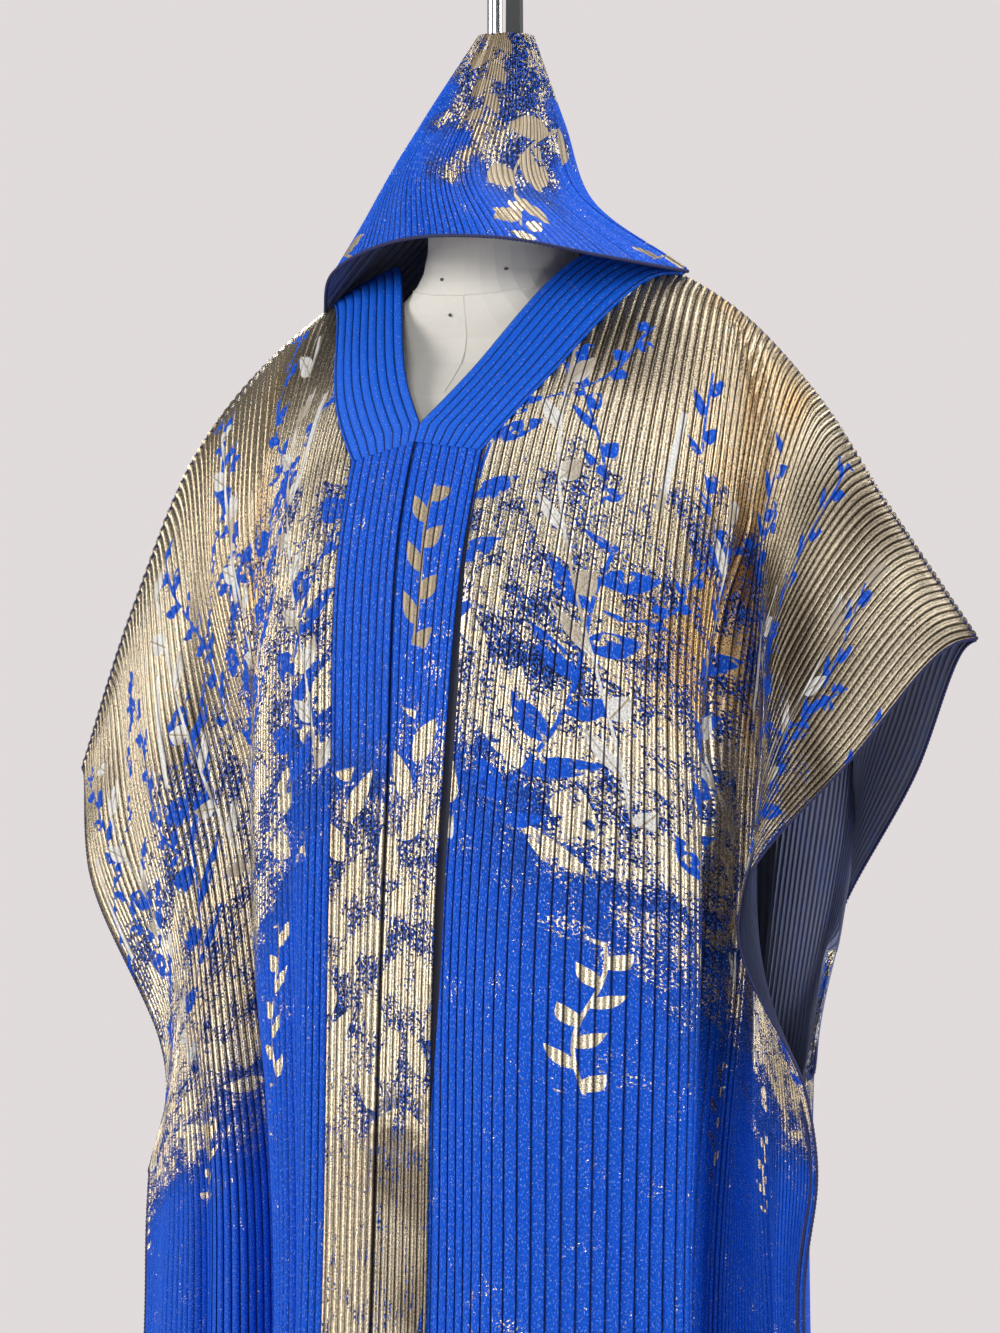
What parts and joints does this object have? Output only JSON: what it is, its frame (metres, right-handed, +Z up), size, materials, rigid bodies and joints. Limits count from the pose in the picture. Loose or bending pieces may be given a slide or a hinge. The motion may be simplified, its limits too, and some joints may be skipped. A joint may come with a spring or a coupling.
{
  "type": "hooded grand boubou robe on a limbless dress form",
  "caption": "Wide hooded robe of ribbed metallic jacquard with open cuffs, V neckband and front placket, standing on a limbless dress form.",
  "frame": {"origin": "on the floor, at the middle of the stand base's flat underside", "axes": "+Z up, the robe's front faces -Y, the wearer's left side is +X"},
  "size_m": [0.765, 0.431, 1.69],
  "materials": {
    "ribbed_jacquard": "pleated jacquard, royal blue with gold and silver metallic leaves and speckle",
    "band_satin": "royal blue ribbed satin bands with gold sprigs lower down",
    "slit_backing": "dark navy matt tape",
    "form_canvas": "pale plain canvas over a padded form",
    "stand_steel": "satin grey",
    "chrome": "polished",
    "dark_bar": "dark grey, slightly worn"
  },
  "bodies": {
    "root": {"front_left": "ribbed_jacquard", "front_right": "ribbed_jacquard", "back_left": "ribbed_jacquard", "back_right": "ribbed_jacquard", "hood": "ribbed_jacquard", "neckband_left": "band_satin", "neckband_right": "band_satin", "placket_left": "band_satin", "placket_right": "band_satin", "slit_backing": "slit_backing", "form_torso": "form_canvas", "form_neck_cap": "stand_steel", "form_rod": "chrome", "form_bar": "dark_bar", "stand_column": "chrome", "stand_base": "stand_steel"}
  },
  "joints": []
}
